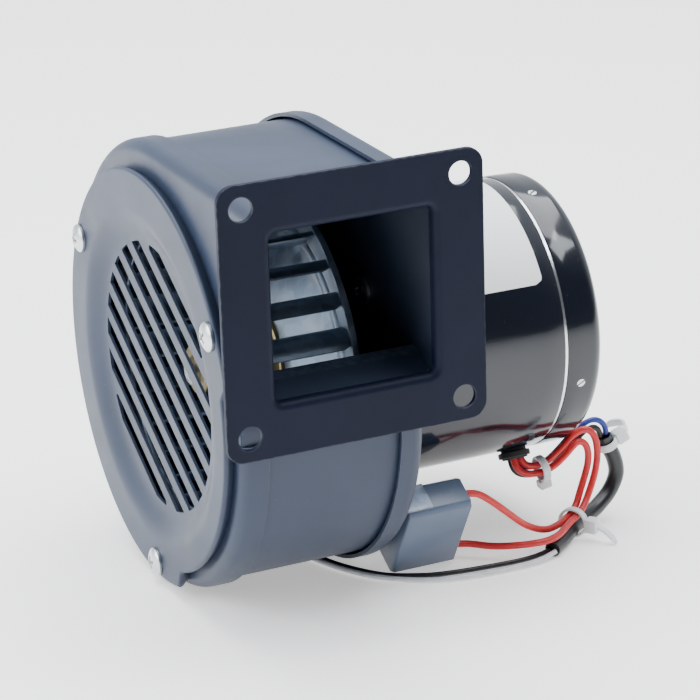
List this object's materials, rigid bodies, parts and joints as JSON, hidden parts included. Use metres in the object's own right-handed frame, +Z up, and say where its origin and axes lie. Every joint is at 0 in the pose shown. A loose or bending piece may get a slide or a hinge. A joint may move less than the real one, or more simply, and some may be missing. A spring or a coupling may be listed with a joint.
{
  "type": "centrifugal blower",
  "caption": "Small single-inlet centrifugal blower with a pressed steel scroll casing, square outlet flange, slotted inlet cover and a capacitor-run motor.",
  "frame": {"origin": "middle of the outlet flange's front face", "axes": "-Y is the way the air leaves, through the outlet flange. X is along the motor shaft, with the inlet cover on -X and the motor on +X. +Z is up, from the scroll towards the outlet's top edge."},
  "size_m": [0.1578, 0.146, 0.1463],
  "materials": {
    "housing_paint": "satin powder coat",
    "flange_paint": "satin powder coat",
    "motor_paint": "gloss paint",
    "zinc_screw": "zinc plated",
    "galvanised": "galvanised sheet",
    "bare_steel": "ground",
    "bright_ring": "bright",
    "brass_hub": "turned",
    "dark_steel": "blackened",
    "laminated_steel": "laminated",
    "cast_bars": "cast",
    "copper_wire": "enamelled copper",
    "black_rubber": "matt",
    "nylon_white": "natural nylon",
    "capacitor_plastic": "moulded",
    "potting_resin": "cast resin",
    "red_insulation": "extruded",
    "black_insulation": "extruded",
    "blue_insulation": "extruded",
    "white_insulation": "extruded"
  },
  "bodies": {
    "housing": {"scroll_wall": "housing_paint", "side_pan": "housing_paint", "rear_pan": "housing_paint", "outlet_flange": "flange_paint", "inlet_cover": "housing_paint", "cover_screws": "zinc_screw", "motor_front_bell": "motor_paint", "motor_fixing_screws": "zinc_screw", "motor_tube": "motor_paint", "seam_ring": "bright_ring", "motor_end_cap": "motor_paint", "end_cap_screws": "dark_steel", "stator_core": "laminated_steel", "stator_windings": "copper_wire", "bearing_outer_rings": "bare_steel", "bearing_balls": "bare_steel", "lead_grommet": "black_rubber", "lead_clip": "nylon_white", "capacitor_case": "capacitor_plastic", "capacitor_potting": "potting_resin", "capacitor_bracket": "zinc_screw", "capacitor_screw": "zinc_screw", "upper_tie": "nylon_white", "lower_tie": "nylon_white", "lead_sleeve": "black_insulation", "red_lead_upper": "red_insulation", "red_lead_lower": "red_insulation", "motor_lead_black": "black_insulation", "motor_lead_blue": "blue_insulation", "supply_lead_black": "black_insulation", "supply_lead_white": "white_insulation", "lead_coil": "black_insulation"},
    "rotor": {"impeller_back_plate": "galvanised", "impeller_blades": "galvanised", "impeller_front_ring": "galvanised", "impeller_hub": "brass_hub", "hub_set_screw": "dark_steel", "motor_shaft": "bare_steel", "rotor_core": "laminated_steel", "rotor_end_rings": "cast_bars", "bearing_inner_rings": "bare_steel"}
  },
  "joints": [
    {"name": "impeller_spin", "type": "hinge", "parent": "housing", "child": "rotor", "pos_m": [0, 0.077, -0.0406], "axis": [1, 0, 0], "continuous": true}
  ]
}
